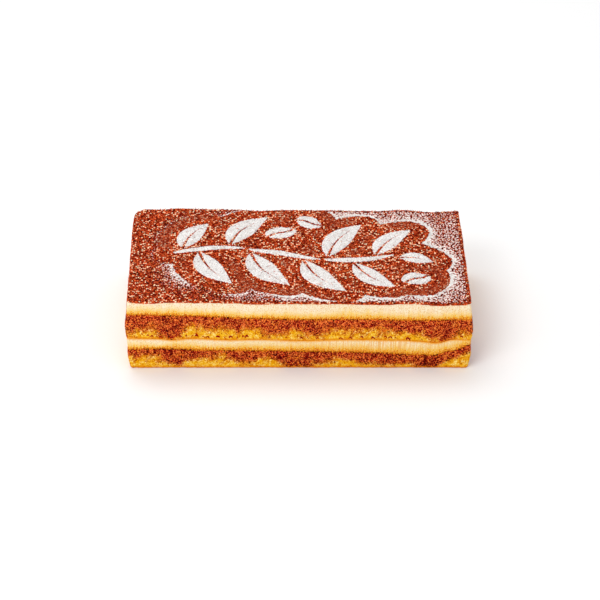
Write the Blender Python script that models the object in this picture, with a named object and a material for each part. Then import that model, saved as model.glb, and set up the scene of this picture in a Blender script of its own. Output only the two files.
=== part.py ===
"""A slab of tiramisu: two soaked sponge layers, two cream layers and a cocoa top with a sugar stencil.

Metres, +Z up. The slab lies on its sponge underside, with the origin at the centre of that underside.
X runs along the slab, and the long cut side that shows the layers best looks to -Y.
"""

import math

import bmesh
import bpy
from mathutils import Vector, noise

MM = 0.001

# Driving dimensions of the slab.
LENGTH = 180 * MM
DEPTH = 96.6 * MM
COCOA = 0.8 * MM  # thickness of the cocoa layer
SUGAR = 0.5 * MM  # height of the stencilled sugar above the cocoa
GAP = 0.3 * MM  # kept between layers that touch

# Corners of the plan. The one at the back left is the corner of the baking tin, and the others are cut.
TIN_CORNER = 8.5 * MM
CUT_CORNER = 1.6 * MM

# The left end stands further out than the right one: by this much at the front, and more towards the back.
LEFT_FRONT = 1.1 * MM
LEFT_BACK = 3.5 * MM
LEFT_REACH = 85 * MM

# The side stands out past the edge of the cocoa: most halfway up each sponge, less where two layers meet.
SIDE_BULGE = 0.8 * MM
JOINT_BULGE = 0.35 * MM
FOOT_BULGE = 0.1 * MM
SIDE_WOBBLE = 0.35 * MM
SIDE_WAVE = 18 * MM
END_BARREL = 0.9 * MM  # both ends stand out by this much more halfway up the slab
BARREL_HEIGHT = 41.5 * MM
SIDE_ROWS = 4  # rows of faces up the side of a sponge

# Cells of the grid that lets the layers wave.
CELLS_LONG = 24
CELLS_DEEP = 8

# Heights of the layers along the front side: (place along X, height), both in millimetres.
LOWER_SPONGE_TOP = [(-90, 12.5), (-66, 12.9), (-50, 11.9), (-5, 11.4), (24, 10.9),
                    (48, 10.2), (57, 9.1), (70, 8.7), (79, 11.3), (88, 14.9), (91, 15.6)]
LOWER_CREAM_TOP = [(-90, 18.7), (-74, 18.5), (-65, 17.9), (-57, 18.7), (-34, 17.8), (-22, 18.1), (4, 17.3),
                   (26, 18.0), (52, 17.7), (62, 16.8), (71, 15.8), (80, 18.1), (90, 17.7)]
UPPER_SPONGE_TOP = [(-90, 34.2), (-55, 33.7), (-42, 33.1), (-29, 32.1), (-14, 32.0), (2, 31.3),
                    (33, 31.5), (56, 31.0), (90, 31.4)]
COCOA_TOP = [(-90, 42.3), (-78, 41.6), (-64, 42.3), (-46, 42.1), (-35, 41.7), (-22, 40.9), (-9, 41.5),
             (16, 41.4), (42, 40.8), (58, 41.5), (74, 40.1), (84, 40.7), (90, 41.3)]

# Behind the front side the layers wave as they like, by this much over waves of about this length.
DRIFT = 0.6 * MM
DRIFT_WAVE = 30 * MM
DRIFT_START = 25 * MM  # the drift has its full size this far behind the front side

# The stencilled branch. Its stem is one wave, in strokes with a bridge between them.
STEM_START = -67 * MM
STEM_END = 51 * MM
STEM_SWING = 6 * MM
STEM_WIDTH = 4.2 * MM
STEM_STROKES = 3
STEM_BRIDGE = 2.2 * MM
STEM_CLEAR = 3.4 * MM  # from the stem's middle to the foot of a leaf
STROKE_END = 0.5 * MM  # half width of a stroke's ends
LEAF_SLIT = 1.7 * MM  # width of the midrib's slit at the foot of a leaf
SLIT_SHARE = 0.8  # the slit's share of the leaf's length
BEAN_SLIT = 1.5 * MM
BEAN_CURL = 0.055  # swing of the bean's slit, as a share of its length

# Leaves: place along X, side of the stem, lean from +X in degrees, length, width, bend of the midrib.
LEAVES = [
    (-62, 1, 63, 29, 12.5, 2.5),
    (-53, -1, 60, 35, 14.0, -3.0),
    (-37, 1, 57, 36, 14.0, 3.5),
    (-26, -1, 57, 38, 14.5, -3.5),
    (2, -1, 53, 37, 14.0, -3.5),
    (15, 1, 60, 38, 14.5, 3.5),
    (29, -1, 47, 31, 12.5, -2.5),
    (41, 1, 50, 31, 13.0, 3.0),
]
TIP_LEAF = (54, -3, -10, 18, 10, 1.2)  # place along X and Y, lean, length, width, bend

# Coffee beans: place along X and Y, lean in degrees, length, width.
BEANS = [
    (-10, 22, 30, 16, 12),
    (5, 32.5, -22, 15, 11.5),
    (62, -24, 36, 15.5, 11.5),
]

COLOURS = {  # linear colour and roughness
    "sponge": ((0.47, 0.17, 0.035), 0.85),
    "cream": ((0.93, 0.72, 0.38), 0.55),
    "cocoa": ((0.34, 0.075, 0.035), 0.95),
}


def clear_scene():
    for item in list(bpy.data.objects):
        bpy.data.objects.remove(item, do_unlink=True)


def material(name):
    colour, roughness = COLOURS[name]
    found = bpy.data.materials.new(name)
    found.use_nodes = True
    shader = found.node_tree.nodes["Principled BSDF"]
    shader.inputs["Base Color"].default_value = (*colour, 1)
    shader.inputs["Roughness"].default_value = roughness
    return found


def smooth(t):
    t = min(max(t, 0.0), 1.0)
    return t * t * (3 - 2 * t)


def along(controls, x):
    """The height at x of a smooth line through control heights in millimetres."""
    at = x / MM
    for (x0, z0), (x1, z1) in zip(controls, controls[1:]):
        if at <= x1:
            break
    return (z0 + (z1 - z0) * smooth((at - x0) / (x1 - x0))) * MM


def drift(x, y, seed):
    """How far a layer leaves its front line further back."""
    share = smooth((y + DEPTH / 2) / DRIFT_START)
    return DRIFT * share * noise.noise(Vector((x / DRIFT_WAVE, y / DRIFT_WAVE, seed)))


def underside(x, y):
    return 0.0


def lower_sponge_top(x, y):
    return along(LOWER_SPONGE_TOP, x) + drift(x, y, 1.5)


def lower_cream_top(x, y):
    return along(LOWER_CREAM_TOP, x) + drift(x, y, 4.5)


def upper_sponge_top(x, y):
    return along(UPPER_SPONGE_TOP, x) + drift(x, y, 7.5)


def cocoa_top(x, y):
    return along(COCOA_TOP, x) + drift(x, y, 10.5)


def cocoa_floor(x, y):
    return cocoa_top(x, y) - COCOA


def spread(co, bulge):
    """Moves a point outwards from the slab's axis, by its bulge, the wobble of the side and the form of the end."""
    x, y, z = co / SIDE_WAVE
    long_side = SIDE_WOBBLE * noise.noise(Vector((x, z, math.copysign(20, y))))
    short_side = SIDE_WOBBLE * noise.noise(Vector((math.copysign(10, x), y, z)))
    end = END_BARREL * math.sin(math.pi * min(co.z / BARREL_HEIGHT, 1))
    if co.x < 0:
        end += LEFT_FRONT + (LEFT_BACK - LEFT_FRONT) * smooth((co.y + DEPTH / 2) / LEFT_REACH)
    co.x *= 1 + (bulge + short_side + end) / (LENGTH / 2)
    co.y *= 1 + (bulge + long_side) / (DEPTH / 2)


def cut(mesh, place, normal):
    bmesh.ops.bisect_plane(mesh, geom=mesh.verts[:] + mesh.edges[:] + mesh.faces[:], dist=1e-7,
                           plane_co=place, plane_no=normal)


def cut_grid(mesh, rows):
    """Cuts the whole mesh along the grid that all layers share, and across its height for each row."""
    half_long = LENGTH / 2 - SIDE_BULGE
    half_deep = DEPTH / 2 - SIDE_BULGE
    for i in range(1, CELLS_LONG):
        cut(mesh, (half_long * (2 * i / CELLS_LONG - 1), 0, 0), (1, 0, 0))
    for i in range(1, CELLS_DEEP):
        cut(mesh, (0, half_deep * (2 * i / CELLS_DEEP - 1), 0), (0, 1, 0))
    for height in rows:
        cut(mesh, (0, 0, height), (0, 0, 1))


def plan_block(height):
    """A block of the slab's plan from z = 0 up to a height, with its upright edges rounded."""
    mesh = bmesh.new()
    bmesh.ops.create_cube(mesh, size=1)
    size = Vector((LENGTH - 2 * SIDE_BULGE, DEPTH - 2 * SIDE_BULGE, height))
    for vert in mesh.verts:
        vert.co = Vector((vert.co.x * size.x, vert.co.y * size.y, (vert.co.z + 0.5) * size.z))
    upright = [edge for edge in mesh.edges if abs(edge.verts[0].co.z - edge.verts[1].co.z) > height / 2]
    tin = [edge for edge in upright if edge.verts[0].co.x < 0 < edge.verts[0].co.y]
    cuts = [edge for edge in upright if edge not in tin]
    bmesh.ops.bevel(mesh, geom=cuts, offset=CUT_CORNER, segments=2, profile=0.5, affect="EDGES")
    tin = [edge for edge in tin if edge.is_valid]
    bmesh.ops.bevel(mesh, geom=tin, offset=TIN_CORNER, segments=5, profile=0.5, affect="EDGES")
    return mesh


def add_object(name, mesh, slot, collection):
    data = bpy.data.meshes.new(name)
    mesh.to_mesh(data)
    mesh.free()
    data.materials.append(slot)
    found = bpy.data.objects.new(name, data)
    collection.objects.link(found)
    return found


def layer(name, floor, ceiling, bulges, slot, collection):
    """One layer between two wavy surfaces. bulges are those of its bottom, middle and top."""
    bottom, middle, top = bulges
    swollen = middle - (bottom + top) / 2
    rows = SIDE_ROWS if swollen else 1
    mesh = plan_block(1.0)
    cut_grid(mesh, [row / rows for row in range(1, rows)])
    bmesh.ops.triangulate(mesh, faces=mesh.faces[:])
    low_gap = 0.0 if floor is underside else GAP / 2
    for vert in mesh.verts:
        x, y, share = vert.co
        low = floor(x, y) + low_gap
        high = ceiling(x, y) - GAP / 2
        vert.co.z = low + (high - low) * share
        spread(vert.co, bottom + (top - bottom) * share + swollen * math.sin(math.pi * share))
    return add_object(name, mesh, slot, collection)


def stem_height(x):
    return STEM_SWING * math.sin(2 * math.pi * (x - STEM_START) / (STEM_END - STEM_START))


def stem_point(share, first, last):
    x = first + (last - first) * share
    return Vector((x, stem_height(x)))


def bent_line(foot, lean, length, bend):
    """A function along a midrib that leaves its straight line by bend at the middle."""
    ahead = Vector((math.cos(lean), math.sin(lean)))
    aside = Vector((-ahead.y, ahead.x))
    return lambda share: foot + ahead * (length * share) + aside * (bend * math.sin(math.pi * share))


def beside(spine, share, reach):
    """The point that lies reach to the left of a spine."""
    ahead = (spine(min(share + 0.01, 1)) - spine(max(share - 0.01, 0))).normalized()
    return spine(share) + Vector((-ahead.y, ahead.x)) * reach


def swell(share, sharpness):
    """A half width along a spine, from 0 to 1 and back. sharpness 1 gives points and 0.5 round ends."""
    return math.sin(math.pi * share ** 0.85) ** sharpness


def closer_at_ends(points):
    """Shares of a spine from 0 to 1, closer together at its ends."""
    return [(1 - math.cos(math.pi * i / points)) / 2 for i in range(points + 1)]


def stroke(spine, width, points):
    """The outline of a brush stroke that swells from its blunt ends."""
    shares = closer_at_ends(points)
    reaches = [max(width / 2 * swell(share, 0.6), STROKE_END) for share in shares]
    left = [beside(spine, share, reach) for share, reach in zip(shares, reaches)]
    right = [beside(spine, share, -reach) for share, reach in zip(shares, reaches)]
    return left + right[::-1]


def leaf(spine, width, points):
    """The outline of a leaf, with a slit that runs from its foot along the midrib and closes before the tip."""
    shares = closer_at_ends(points)
    slits = [SLIT_SHARE * i / 4 for i in range(5)]

    def edge(side):
        least = [(LEAF_SLIT / 2 + STROKE_END) * (1 - share) for share in shares]
        outer = [beside(spine, share, side * max(width / 2 * swell(share, 0.9), low))
                 for share, low in zip(shares[:-1], least)]
        inner = [beside(spine, share, side * LEAF_SLIT / 2 * (1 - share / SLIT_SHARE)) for share in slits[:-1]]
        return inner[::-1] + outer

    return [spine(SLIT_SHARE)] + edge(1) + [spine(1)] + edge(-1)[::-1]


def bean_half(spine, width, side, points):
    """Half of a coffee bean, on one side of its slit."""
    shares = closer_at_ends(points)
    trim = BEAN_SLIT / 2
    inner = [beside(spine, share, side * trim) for share in shares]
    outer = [beside(spine, share, side * max(width / 2 * swell(share, 0.5), trim + STROKE_END / 2))
             for share in shares]
    return inner + outer[::-1]


def stem_outlines():
    pitch = (STEM_END - STEM_START + STEM_BRIDGE) / STEM_STROKES
    found = []
    for i in range(STEM_STROKES):
        first = STEM_START + i * pitch
        last = first + pitch - STEM_BRIDGE
        found.append(stroke(lambda share, a=first, b=last: stem_point(share, a, b), STEM_WIDTH, 10))
    return found


def leaf_outlines():
    found = []
    for x, side, lean, length, width, bend in LEAVES:
        foot = Vector((x * MM, stem_height(x * MM) + side * STEM_CLEAR))
        found.append(leaf(bent_line(foot, math.radians(side * lean), length * MM, bend * MM), width * MM, 12))
    x, y, lean, length, width, bend = TIP_LEAF
    tip = bent_line(Vector((x, y)) * MM, math.radians(lean), length * MM, bend * MM)
    return found + [leaf(tip, width * MM, 10)]


def bean_outlines():
    found = []
    for x, y, lean, length, width in BEANS:
        turn = math.radians(lean)
        ahead = Vector((math.cos(turn), math.sin(turn))) * length * MM
        aside = Vector((-ahead.y, ahead.x)) * BEAN_CURL
        middle = Vector((x, y)) * MM

        def spine(share, middle=middle, ahead=ahead, aside=aside):
            return middle + ahead * (share - 0.5) + aside * math.sin(2 * math.pi * share)

        found += [bean_half(spine, width * MM, side, 12) for side in (1, -1)]
    return found


def sugar_relief(collection):
    """The stencilled shapes as one flat object that starts inside the cocoa and ends above it."""
    curve = bpy.data.curves.new("sugar_outlines", "CURVE")
    curve.dimensions = "2D"
    curve.fill_mode = "BOTH"
    sunk = COCOA / 2
    curve.extrude = (sunk + SUGAR) / 2
    for outline in stem_outlines() + leaf_outlines() + bean_outlines():
        spline = curve.splines.new("POLY")
        spline.points.add(len(outline) - 1)
        for point, place in zip(spline.points, outline):
            point.co = (place.x, place.y, 0, 1)
        spline.use_cyclic_u = True
    flat = bpy.data.objects.new("sugar_outlines", curve)
    collection.objects.link(flat)
    flat.location.z = COCOA + (SUGAR - sunk) / 2
    bpy.context.view_layer.update()
    data = bpy.data.meshes.new_from_object(flat.evaluated_get(bpy.context.evaluated_depsgraph_get()))
    mesh = bmesh.new()
    mesh.from_mesh(data)
    bmesh.ops.remove_doubles(mesh, verts=mesh.verts[:], dist=1e-6)
    mesh.to_mesh(data)
    mesh.free()
    solid = bpy.data.objects.new("sugar_relief", data)
    solid.matrix_world = flat.matrix_world
    collection.objects.link(solid)
    bpy.data.objects.remove(flat, do_unlink=True)
    return solid


def cocoa_layer(slot, collection, cutters):
    """The cocoa with the sugar fused to it, joined while flat and then laid on the cream's waves."""
    found = add_object("cocoa_top", plan_block(COCOA), slot, collection)
    relief = sugar_relief(cutters)
    join = found.modifiers.new("sugar", "BOOLEAN")
    join.operation = "UNION"
    join.object = relief
    bpy.context.view_layer.update()
    joined = bpy.data.meshes.new_from_object(found.evaluated_get(bpy.context.evaluated_depsgraph_get()))
    found.modifiers.clear()
    bpy.data.objects.remove(relief, do_unlink=True)

    mesh = bmesh.new()
    mesh.from_mesh(joined)
    cut_grid(mesh, [])
    bmesh.ops.triangulate(mesh, faces=mesh.faces[:])
    for vert in mesh.verts:
        vert.co.z += cocoa_floor(vert.co.x, vert.co.y) + GAP / 2 * (1 - min(vert.co.z / COCOA, 1))
        spread(vert.co, 0.0)
    mesh.to_mesh(found.data)
    mesh.free()
    return found


def centre(objects):
    """Shifts the layers together, so that the slab's box is centred on the origin."""
    corners = [vert.co for item in objects for vert in item.data.vertices]
    shift = Vector([-(min(co[i] for co in corners) + max(co[i] for co in corners)) / 2 for i in (0, 1)] + [0])
    for item in objects:
        for vert in item.data.vertices:
            vert.co += shift


def main():
    clear_scene()
    parts = bpy.data.collections.new("tiramisu")
    cutters = bpy.data.collections.new("cutters")
    bpy.context.scene.collection.children.link(parts)
    bpy.context.scene.collection.children.link(cutters)
    sponge, cream, cocoa = (material(name) for name in ("sponge", "cream", "cocoa"))
    slab = [
        layer("sponge_lower", underside, lower_sponge_top, (FOOT_BULGE, SIDE_BULGE, JOINT_BULGE), sponge, parts),
        layer("cream_lower", lower_sponge_top, lower_cream_top, (JOINT_BULGE,) * 3, cream, parts),
        layer("sponge_upper", lower_cream_top, upper_sponge_top, (JOINT_BULGE, SIDE_BULGE, JOINT_BULGE),
              sponge, parts),
        layer("cream_upper", upper_sponge_top, cocoa_floor, (JOINT_BULGE, JOINT_BULGE / 2, 0.0), cream, parts),
        cocoa_layer(cocoa, parts, cutters),
    ]
    centre(slab)


main()
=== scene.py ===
"""The looks of the tiramisu slab: crumb, cream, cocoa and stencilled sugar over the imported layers.

Sizes here are in millimetres, and become metres when a mesh is made. The slab's front side looks to -Y.
"""

import math

import bpy
import numpy as np
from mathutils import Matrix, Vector, noise


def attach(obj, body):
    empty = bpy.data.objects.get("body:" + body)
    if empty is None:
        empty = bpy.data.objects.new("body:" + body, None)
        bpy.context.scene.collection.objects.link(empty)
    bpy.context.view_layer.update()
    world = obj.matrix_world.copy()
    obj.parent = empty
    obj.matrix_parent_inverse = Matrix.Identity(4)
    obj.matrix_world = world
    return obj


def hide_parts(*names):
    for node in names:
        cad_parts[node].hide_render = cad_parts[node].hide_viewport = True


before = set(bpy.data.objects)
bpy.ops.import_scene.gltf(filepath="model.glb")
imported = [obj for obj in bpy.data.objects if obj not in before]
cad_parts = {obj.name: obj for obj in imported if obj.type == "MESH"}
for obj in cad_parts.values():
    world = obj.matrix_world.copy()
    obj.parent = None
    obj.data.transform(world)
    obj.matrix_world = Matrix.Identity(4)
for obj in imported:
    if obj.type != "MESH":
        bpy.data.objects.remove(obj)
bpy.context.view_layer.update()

MM = 0.001

# The slab's plan and layers, as in the solids.
LENGTH = 180.0
DEPTH = 96.6
COCOA = 0.8  # thickness of the powder
SUGAR = 0.5  # height of the stencilled shapes on it
TIN_CORNER = 8.5  # radius of the corner at the back left
CUT_CORNER = 1.6  # the same of the other three
LEFT_FRONT = 1.1  # how far the left end stands out at the front
LEFT_BACK = 3.5  # the same at LEFT_REACH behind it
LEFT_REACH = 85.0
SIDE_BULGE = 0.8
JOINT_BULGE = 0.35
FOOT_BULGE = 0.1
SIDE_WOBBLE = 0.35
SIDE_WAVE = 18.0
LONG_SIDE_SEED = 20.0
SHORT_SIDE_SEED = 10.0
END_BARREL = 0.9
BARREL_HEIGHT = 41.5
SHIFT = (1.63, 0.02)  # centres the slab's box
HALF_LONG = LENGTH / 2 - SIDE_BULGE
HALF_DEEP = DEPTH / 2 - SIDE_BULGE
LOWER_SPONGE_TOP = [(-90, 12.5), (-66, 12.9), (-50, 11.9), (-5, 11.4), (24, 10.9),
                    (48, 10.2), (57, 9.1), (70, 8.7), (79, 11.3), (88, 14.9), (91, 15.6)]
LOWER_CREAM_TOP = [(-90, 18.7), (-74, 18.5), (-65, 17.9), (-57, 18.7), (-34, 17.8), (-22, 18.1), (4, 17.3),
                   (26, 18.0), (52, 17.7), (62, 16.8), (71, 15.8), (80, 18.1), (90, 17.7)]
UPPER_SPONGE_TOP = [(-90, 34.2), (-55, 33.7), (-42, 33.1), (-29, 32.1), (-14, 32.0), (2, 31.3),
                    (33, 31.5), (56, 31.0), (90, 31.4)]
COCOA_TOP = [(-90, 42.3), (-78, 41.6), (-64, 42.3), (-46, 42.1), (-35, 41.7), (-22, 40.9), (-9, 41.5),
             (16, 41.4), (42, 40.8), (58, 41.5), (74, 40.1), (84, 40.7), (90, 41.3)]
DRIFT = 0.6  # how far the layers' tops leave their front lines
DRIFT_WAVE = 30.0
DRIFT_START = 25.0  # depth over which the drift sets in

# The soaked share of each sponge's height along its front: (place along X, share).
UPPER_SOAK = [(-90, 0.7), (-78, 0.55), (-65, 1.0), (-56, 0.45), (-46, 0.56), (-40, 0.42), (-34, 0.6),
              (-26, 0.42), (-15, 0.76), (-4, 0.55), (6, 0.74), (14, 0.52), (24, 0.55), (40, 0.5),
              (56, 0.54), (68, 0.74), (76, 1.0), (84, 0.6), (90, 0.6)]
LOWER_SOAK = [(-90, 0.3), (-78, 0.36), (-63, 0.85), (-55, 0.42), (-40, 0.34), (-27, 0.76), (-18, 0.35),
              (-5, 0.9), (3, 0.85), (13, 0.66), (20, 0.42), (30, 0.6), (38, 0.75), (48, 0.82), (54, 0.55),
              (66, 1.0), (70, 1.05), (76, 0.55), (90, 0.3)]

# The share of the lower skin's dark arches that shows on the upper sponge's front.
UPPER_SKIN = [(-90, 0.3), (-76, 0.6), (-66, 1.0), (-30, 0.9), (-12, 0.5), (18, 0.4), (30, 0.7), (56, 0.7),
              (72, 0.3), (90, 0.6)]

# A crack down the lower sponge's front, darkened with painted shade: its place along X and half its width.
CRACK = (68.3, 0.75)

# The stencilled branch, as in the solids.
STEM_START = -67.0
STEM_END = 51.0
STEM_SWING = 6.0
STEM_WIDTH = 4.2
STEM_STROKES = 3
STEM_BRIDGE = 2.2  # between two strokes
STEM_CLEAR = 3.4  # of the leaves
STROKE_END = 0.5  # least half width
LEAF_SLIT = 1.7
SLIT_SHARE = 0.8  # of the leaf's length
BEAN_SLIT = 1.5
BEAN_CURL = 0.055
SWELL_LEAN = 0.85
STROKE_SWELL = 0.6
LEAF_SWELL = 0.9
BEAN_SWELL = 0.5
# Each leaf: place along the stem, side, lean, length, width, bend.
LEAVES = [
    (-62, 1, 63, 29, 12.5, 2.5), (-53, -1, 60, 35, 14, -3), (-37, 1, 57, 36, 14, 3.5),
    (-26, -1, 57, 38, 14.5, -3.5), (2, -1, 53, 37, 14, -3.5), (15, 1, 60, 38, 14.5, 3.5),
    (29, -1, 47, 31, 12.5, -2.5), (41, 1, 50, 31, 13, 3)]
# The leaf at the tip: its place in X and Y, lean, length, width, bend.
TIP_LEAF = (54, -3, -10, 18, 10, 1.2)
# Each bean: place in X and Y, lean, length, width.
BEANS = [(-10, 22, 30, 16, 12), (5, 32.5, -22, 15, 11.5), (62, -24, 36, 15.5, 11.5)]

# Fineness of the meshes and outlines.
SIDE_STEP = 0.38
CREAM_STEP = 0.5
TOP_STEP = 0.46
ARC_POINTS = 40  # of a corner, before the plan is divided evenly
SPINE_STEPS = 24
SHARES = (1 - np.cos(np.pi * np.arange(SPINE_STEPS + 1) / SPINE_STEPS)) / 2  # closer at a spine's ends
SHARE_STEP = 0.01
SLIT_STEPS = 8
GRAINS = 24000  # of each powder at most

# Rings of a layer's hidden top and bottom, as shares of the plan. Below CAP_FULL they skip points.
CAP_RINGS = (0.985, 0.94, 0.8, 0.6, 0.4, 0.2, 0.05)
CAP_FULL = 0.95
CAP_SKIP = 8

BORDER = 10.5  # bare cocoa round the stencilled shapes
SUGAR_REACH = 20.0  # how far beyond it distances still count
FAR = 60.0  # stands for any distance beyond that
TINY = 1e-12
SRGB_TOE = 10  # below this a picture's numbers are linear


def srgb(red, green, blue):
    """A linear colour from the numbers of a picture."""
    return tuple(((c / 255 + 0.055) / 1.055) ** 2.4 if c > SRGB_TOE else c / 255 / 12.92
                 for c in (red, green, blue))


def stack(*parts):
    """The parts side by side, along a new last axis."""
    return np.stack(np.broadcast_arrays(*parts), -1)


def between(limits, share):
    return limits[0] + (limits[1] - limits[0]) * share


# ------ noise

def smooth(t):
    """0 below 0 and 1 above 1, with a smooth way between."""
    t = np.clip(t, 0, 1)
    return t * t * (3 - 2 * t)


def hashed(cells, seed):
    """A repeatable number from 0 to 1 for each row of whole numbers."""
    c = cells.astype(np.int64)
    h = (c[..., 0] * 73856093) ^ (c[..., 1] * 19349663) ^ (c[..., 2] * 83492791) ^ (seed * 1013904223)
    h = ((h ^ (h >> 15)) * 2246822519) & 0xFFFFFFFF
    h = ((h ^ (h >> 13)) * 3266489917) & 0xFFFFFFFF
    return ((h ^ (h >> 16)) & 0xFFFFFF) / 0xFFFFFF


def value_noise(points, seed):
    """Smooth noise from -1 to 1 with waves about one unit long."""
    base = np.floor(points)
    share = smooth(points - base)
    total = 0.0
    for corner in np.ndindex(2, 2, 2):
        weight = np.prod(np.where(corner, share, 1 - share), axis=-1)
        total = total + weight * hashed(base + corner, seed)
    return 2 * total - 1


def rough_noise(points, octaves, seed):
    """Noise with finer waves on it."""
    found = sum(value_noise(points * 2 ** i, seed + i) / 2 ** i for i in range(octaves))
    return found / (2 - 0.5 ** (octaves - 1))


def flat_noise(x, y, wave, seed):
    """Smooth noise over the plan, with waves of this length."""
    return value_noise(stack(x / wave, y / wave, 0), seed)


def cells_near(points, seed):
    """Of one random seed per unit cell: the distance to the nearest, and its own number."""
    base = np.floor(points)
    nearest = np.full(points.shape[:-1], 9.0)
    own = np.zeros(points.shape[:-1])
    for step in np.ndindex(3, 3, 3):
        cell = base + step - 1
        place = cell + stack(*(hashed(cell, seed + k) for k in (1, 2, 3)))
        gap = np.linalg.norm(place - points, axis=-1)
        closer = gap < nearest
        nearest = np.where(closer, gap, nearest)
        own = np.where(closer, hashed(cell, seed + 4), own)
    return nearest, own


def drift_noise(x, y, z):
    """Blender's own noise, so that surfaces wave as they do in the solids."""
    places = stack(x, y, z)
    flat = places.reshape(-1, 3)
    return np.fromiter((noise.noise(p) for p in flat), float, len(flat)).reshape(places.shape[:-1])


# ------ the slab's form

def along(controls, x):
    """The height at x on a line through these (place, height) pairs, level at each."""
    places, heights = np.array(controls, float).T
    i = np.clip(np.searchsorted(places, x) - 1, 0, len(places) - 2)
    return heights[i] + (heights[i + 1] - heights[i]) * smooth((x - places[i]) / (places[i + 1] - places[i]))


def waved(controls, seed):
    """A layer's top: its front line, left by a drift further back."""
    def height(x, y):
        share = smooth((y + DEPTH / 2) / DRIFT_START)
        return along(controls, x) + DRIFT * share * drift_noise(x / DRIFT_WAVE, y / DRIFT_WAVE, seed)
    return height


lower_sponge_top = waved(LOWER_SPONGE_TOP, 1.5)
lower_cream_top = waved(LOWER_CREAM_TOP, 4.5)
upper_sponge_top = waved(UPPER_SPONGE_TOP, 7.5)
cocoa_top = waved(COCOA_TOP, 10.5)


def cocoa_floor(x, y):
    return cocoa_top(x, y) - COCOA


def underside(x, _):
    return 0 * x


def spread(x, y, z, bulge):
    """Moves points outwards by the bulge, the wobble of the side and the form of the end."""
    long_side = SIDE_WOBBLE * drift_noise(x / SIDE_WAVE, z / SIDE_WAVE, np.copysign(LONG_SIDE_SEED, y))
    short_side = SIDE_WOBBLE * drift_noise(np.copysign(SHORT_SIDE_SEED, x), y / SIDE_WAVE, z / SIDE_WAVE)
    lean = between((LEFT_FRONT, LEFT_BACK), smooth((y + DEPTH / 2) / LEFT_REACH))
    end = END_BARREL * np.sin(np.pi * np.minimum(z / BARREL_HEIGHT, 1)) + np.where(x < 0, lean, 0)
    out_x = x * (1 + (bulge + short_side + end) / (LENGTH / 2))
    out_y = y * (1 + (bulge + long_side) / (DEPTH / 2))
    return stack(out_x + SHIFT[0], out_y + SHIFT[1], z)


def corner_arc(side_x, side_y, radius, first):
    """The plan's rounded corner at these sides, from this angle on."""
    turn = np.radians(np.linspace(first, first + 90, ARC_POINTS))
    return stack(side_x * (HALF_LONG - radius) + radius * np.cos(turn),
                 side_y * (HALF_DEEP - radius) + radius * np.sin(turn))


def outward(ring):
    """The outward directions, in plan, of a counter-clockwise ring of points."""
    ahead = np.roll(ring, -1, 0) - np.roll(ring, 1, 0)
    out = stack(ahead[:, 1], -ahead[:, 0])
    return out / np.maximum(np.linalg.norm(out, axis=1, keepdims=True), TINY)


def plan_ring(step):
    """Points round the plan, counter-clockwise from the front left, and their outward directions."""
    line = np.concatenate([
        corner_arc(-1, -1, CUT_CORNER, 180), corner_arc(1, -1, CUT_CORNER, 270),
        corner_arc(1, 1, CUT_CORNER, 0), corner_arc(-1, 1, TIN_CORNER, 90)])
    line = np.concatenate([line, line[:1]])
    run = np.concatenate([[0], np.cumsum(np.linalg.norm(np.diff(line, axis=0), axis=1))])
    count = int(run[-1] / step) // CAP_SKIP * CAP_SKIP
    at = np.arange(count) * run[-1] / count
    ring = stack(*(np.interp(at, run, values) for values in line.T))
    return ring, outward(ring)


def plan_limits(y):
    """The left and right ends of the plan at each y."""
    def half(radius_back):
        radius = np.where(y < 0, CUT_CORNER, radius_back)
        past = np.clip((np.abs(y) - (HALF_DEEP - radius)) / radius, 0, 1)
        return HALF_LONG - radius + radius * np.sqrt(1 - past ** 2)
    return -half(TIN_CORNER), half(CUT_CORNER)


def rim_distance(x, y):
    """The distance from each point of the plan to its edge."""
    left, right = plan_limits(y)
    return np.minimum(np.minimum(x - left, right - x), HALF_DEEP - np.abs(y))


# ------ the stencilled branch

def stem_height(x):
    return STEM_SWING * np.sin(2 * np.pi * (x - STEM_START) / (STEM_END - STEM_START))


def left_of(ahead):
    return stack(-ahead[..., 1], ahead[..., 0])


def beside(spine, share, reach):
    """Points at this reach to the left of a spine, at shares of its length."""
    ahead = spine(np.minimum(share + SHARE_STEP, 1)) - spine(np.maximum(share - SHARE_STEP, 0))
    ahead /= np.linalg.norm(ahead, axis=-1, keepdims=True)
    return spine(share) + left_of(ahead) * np.asarray(reach)[..., None]


def swell(share, sharpness):
    """A shape's width along its spine, from 0 at the ends to 1 before the middle."""
    return np.clip(np.sin(np.pi * share ** SWELL_LEAN), 0, 1) ** sharpness


def direction(lean):
    return np.array([math.cos(math.radians(lean)), math.sin(math.radians(lean))])


def bent_line(foot, lean, length, bend):
    """A spine from its foot towards its lean, bent aside in its middle."""
    ahead = direction(lean)
    aside = left_of(ahead)

    def spine(share):
        share = np.asarray(share)[..., None]
        return foot + ahead * length * share + aside * bend * np.sin(np.pi * share)
    return spine


def band(spine, first, second):
    """The outline between two lines beside a spine."""
    return np.concatenate([beside(spine, SHARES, first), beside(spine, SHARES, second)[::-1]])


def stroke(spine, width):
    reach = np.maximum(width / 2 * swell(SHARES, STROKE_SWELL), STROKE_END)
    return band(spine, reach, -reach)


def leaf(spine, width):
    """The outline of a leaf, slit along its middle from the foot."""
    shares = SHARES[:-1]
    least = (LEAF_SLIT / 2 + STROKE_END) * (1 - shares)
    outer = np.maximum(width / 2 * swell(shares, LEAF_SWELL), least)
    slits = np.linspace(0, SLIT_SHARE, SLIT_STEPS + 1)[:-1]
    inner = LEAF_SLIT / 2 * (1 - slits / SLIT_SHARE)

    def edge(side):
        return np.concatenate([beside(spine, slits, side * inner)[::-1], beside(spine, shares, side * outer)])

    return np.concatenate([spine(SLIT_SHARE)[None], edge(1), spine(1.0)[None], edge(-1)[::-1]])


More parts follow.
